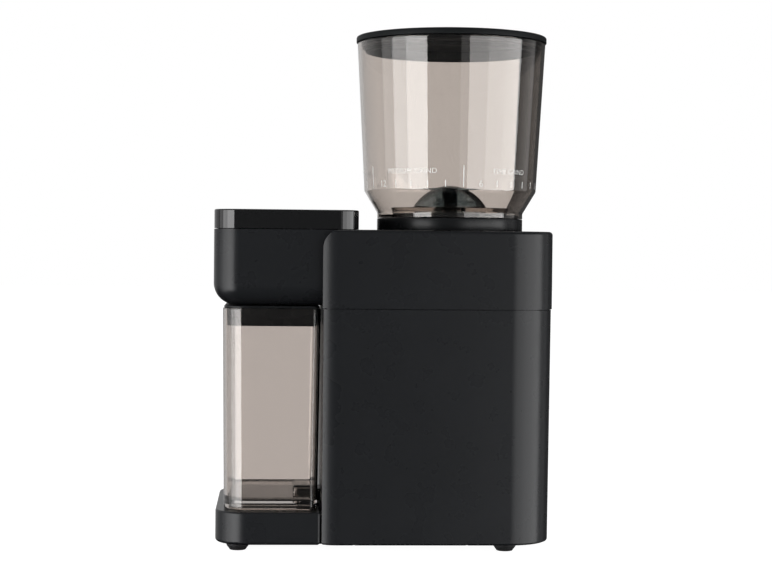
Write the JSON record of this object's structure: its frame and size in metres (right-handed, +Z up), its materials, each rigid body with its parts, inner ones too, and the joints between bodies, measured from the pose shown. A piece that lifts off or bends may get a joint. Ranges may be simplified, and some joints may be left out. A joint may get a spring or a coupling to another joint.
{
  "type": "burr coffee grinder",
  "caption": "Upright electric conical burr coffee grinder: turning smoked bean hopper, dispensing head with touch panel, and a clear container on a weighing base.",
  "frame": {"origin": "middle of the bounding box's footprint, on the surface the feet stand on", "axes": "+Z up; -Y to the front, where the container stands; +X to the right as the user faces the machine, the side the picture shows"},
  "size_m": [0.16, 0.255, 0.39],
  "materials": {
    "body_black": "fine satin texture",
    "lid_black": "satin",
    "inner_black": "matt",
    "panel_gloss": "high gloss",
    "display_gloss": "high gloss",
    "button_gloss": "high gloss",
    "container_smoked": "clear smoked, polished",
    "hopper_smoked": "clear smoked, polished",
    "platform_rubber": "fine matt texture",
    "foot_rubber": "matt",
    "silicone": "matt",
    "steel": "ground",
    "plated_steel": "zinc plated",
    "cell_aluminium": "machined",
    "acetal": "natural",
    "circuit_board": "solder mask over fibreglass",
    "magnet": "dark ferrite"
  },
  "bodies": {
    "machine": {"base_screw_1": "plated_steel", "base_screw_2": "plated_steel", "base_screw_3": "plated_steel", "base_screw_4": "plated_steel", "base_tray": "body_black", "bottom_cover": "inner_black", "burr_housing": "inner_black", "control_board": "circuit_board", "control_panel": "panel_gloss", "cord_inlet": "foot_rubber", "detent_spring": "steel", "display_window": "display_gloss", "drive_bracket": "plated_steel", "drive_damper_1": "foot_rubber", "drive_damper_2": "foot_rubber", "drive_damper_3": "foot_rubber", "foot_front_left": "foot_rubber", "foot_front_right": "foot_rubber", "foot_rear_left": "foot_rubber", "foot_rear_right": "foot_rubber", "gearbox_case": "inner_black", "gearbox_cover": "inner_black", "grounds_chute": "inner_black", "head_shell": "body_black", "hopper_switch": "inner_black", "idler_axle": "steel", "load_cell": "cell_aluminium", "lower_bearing": "steel", "lower_housing": "body_black", "motor_can": "plated_steel", "motor_end_cap": "inner_black", "motor_magnet": "magnet", "power_board": "circuit_board", "scale_platform": "platform_rubber", "static_flap": "silicone", "upper_bearing": "steel", "upper_housing": "body_black"},
    "container": {"grounds_container": "container_smoked", "container_lid": "lid_black"},
    "adjuster": {"adjusting_ring": "lid_black"},
    "burr_holder": {"burr_carrier": "inner_black", "ring_burr": "steel"},
    "hopper": {"hopper_bowl": "hopper_smoked", "hopper_collar": "inner_black", "bean_guard": "hopper_smoked"},
    "shutter": {"hopper_shutter": "hopper_smoked"},
    "lid": {"hopper_lid": "lid_black", "lid_seal": "silicone"},
    "minus_key": {"button_minus": "button_gloss"},
    "plus_key": {"button_plus": "button_gloss"},
    "mode_key": {"button_mode": "button_gloss"},
    "start_key": {"button_start": "button_gloss"},
    "rotor": {"motor_rotor": "steel", "motor_pinion": "plated_steel"},
    "idler": {"idler_gear": "acetal"},
    "burr_drive": {"burr_shaft": "steel", "output_gear": "acetal", "cone_burr": "steel", "impeller": "acetal", "burr_nut": "plated_steel"}
  },
  "joints": [
    {"name": "container_pull", "type": "slide", "parent": "machine", "child": "container", "axis": [0, -1, 0], "range_m": [0, 0.12]},
    {"name": "grind_adjust", "type": "hinge", "parent": "machine", "child": "adjuster", "pos_m": [0, 0.0535, 0.245], "axis": [0, 0, 1], "range_deg": [-166, 52.5]},
    {"name": "burr_lift", "type": "slide", "parent": "machine", "child": "burr_holder", "axis": [0, 0, 1], "range_m": [-0.00201, 0.00065]},
    {"name": "hopper_lift", "type": "slide", "parent": "adjuster", "child": "hopper", "axis": [0, 0, 1], "range_m": [0, 0.1]},
    {"name": "shutter_turn", "type": "hinge", "parent": "hopper", "child": "shutter", "pos_m": [0, 0.0535, 0.2537], "axis": [0, 0, 1], "range_deg": [0, 90]},
    {"name": "lid_lift", "type": "slide", "parent": "hopper", "child": "lid", "axis": [0, 0, 1], "range_m": [0, 0.08]},
    {"name": "minus_press", "type": "slide", "parent": "machine", "child": "minus_key", "axis": [0, 0, -1], "range_m": [0, 0.0008], "stiffness_N_per_m": 600, "springref_m": -0.0004},
    {"name": "plus_press", "type": "slide", "parent": "machine", "child": "plus_key", "axis": [0, 0, -1], "range_m": [0, 0.0008], "stiffness_N_per_m": 600, "springref_m": -0.0004},
    {"name": "mode_press", "type": "slide", "parent": "machine", "child": "mode_key", "axis": [0, 0, -1], "range_m": [0, 0.0008], "stiffness_N_per_m": 600, "springref_m": -0.0004},
    {"name": "start_press", "type": "slide", "parent": "machine", "child": "start_key", "axis": [0, 0, -1], "range_m": [0, 0.0008], "stiffness_N_per_m": 600, "springref_m": -0.0004},
    {"name": "rotor_spin", "type": "hinge", "parent": "machine", "child": "rotor", "pos_m": [0.0015, 0.0055, 0.11], "axis": [0, 0, 1], "continuous": true},
    {"name": "idler_spin", "type": "hinge", "parent": "machine", "child": "idler", "pos_m": [-0.0225, 0.0235, 0.16], "axis": [0, 0, 1], "continuous": true},
    {"name": "burr_spin", "type": "hinge", "parent": "machine", "child": "burr_drive", "pos_m": [0, 0.0535, 0.2], "axis": [0, 0, 1], "continuous": true}
  ],
  "couplings": [
    {"joint": "burr_lift", "follows": "grind_adjust", "m_per_rad": 0.00069},
    {"joint": "idler_spin", "follows": "rotor_spin", "ratio": -0.25},
    {"joint": "burr_spin", "follows": "rotor_spin", "ratio": 0.0625}
  ]
}
